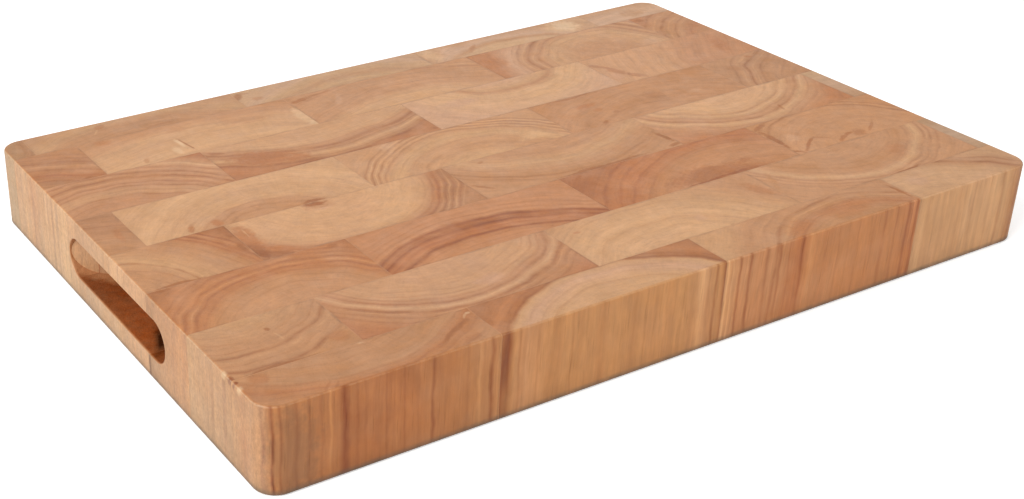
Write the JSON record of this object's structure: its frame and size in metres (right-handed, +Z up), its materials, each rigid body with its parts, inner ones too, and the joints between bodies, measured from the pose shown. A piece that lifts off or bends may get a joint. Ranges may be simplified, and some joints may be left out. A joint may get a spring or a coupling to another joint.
{
  "type": "cutting board",
  "caption": "Thick end-grain wooden cutting board of staggered glued blocks, with rounded corners and a finger grip routed into each end.",
  "frame": {"origin": "centre of the underside, on the surface that the board rests on", "axes": "+X along the length, from the left end to the right end; +Y across the width, towards the back edge; +Z up through the thickness"},
  "size_m": [0.455, 0.305, 0.044],
  "materials": {
    "end_grain_wood": "sanded and oiled, end grain on both faces, satin to matte",
    "wood_glue": "cured wood glue in the seams, brown, scraped flush"
  },
  "bodies": {
    "root": {"row_1_block_1": "end_grain_wood", "row_1_block_2": "end_grain_wood", "row_1_block_3": "end_grain_wood", "row_1_block_4": "end_grain_wood", "row_1_block_5": "end_grain_wood", "row_1_joint_glue": "wood_glue", "row_2_block_1": "end_grain_wood", "row_2_block_2": "end_grain_wood", "row_2_block_3": "end_grain_wood", "row_2_block_4": "end_grain_wood", "row_2_block_5": "end_grain_wood", "row_2_joint_glue": "wood_glue", "row_3_block_1": "end_grain_wood", "row_3_block_2": "end_grain_wood", "row_3_block_3": "end_grain_wood", "row_3_block_4": "end_grain_wood", "row_3_joint_glue": "wood_glue", "row_4_block_1": "end_grain_wood", "row_4_block_2": "end_grain_wood", "row_4_block_3": "end_grain_wood", "row_4_block_4": "end_grain_wood", "row_4_block_5": "end_grain_wood", "row_4_joint_glue": "wood_glue", "row_5_block_1": "end_grain_wood", "row_5_block_2": "end_grain_wood", "row_5_block_3": "end_grain_wood", "row_5_block_4": "end_grain_wood", "row_5_block_5": "end_grain_wood", "row_5_joint_glue": "wood_glue", "row_6_block_1": "end_grain_wood", "row_6_block_2": "end_grain_wood", "row_6_block_3": "end_grain_wood", "row_6_block_4": "end_grain_wood", "row_6_joint_glue": "wood_glue", "row_7_block_1": "end_grain_wood", "row_7_block_2": "end_grain_wood", "row_7_block_3": "end_grain_wood", "row_7_block_4": "end_grain_wood", "row_7_block_5": "end_grain_wood", "row_7_joint_glue": "wood_glue", "row_8_block_1": "end_grain_wood", "row_8_block_2": "end_grain_wood", "row_8_block_3": "end_grain_wood", "row_8_block_4": "end_grain_wood", "row_8_joint_glue": "wood_glue", "seam_1_glue": "wood_glue", "seam_2_glue": "wood_glue", "seam_3_glue": "wood_glue", "seam_4_glue": "wood_glue", "seam_5_glue": "wood_glue", "seam_6_glue": "wood_glue", "seam_7_glue": "wood_glue"}
  },
  "joints": []
}
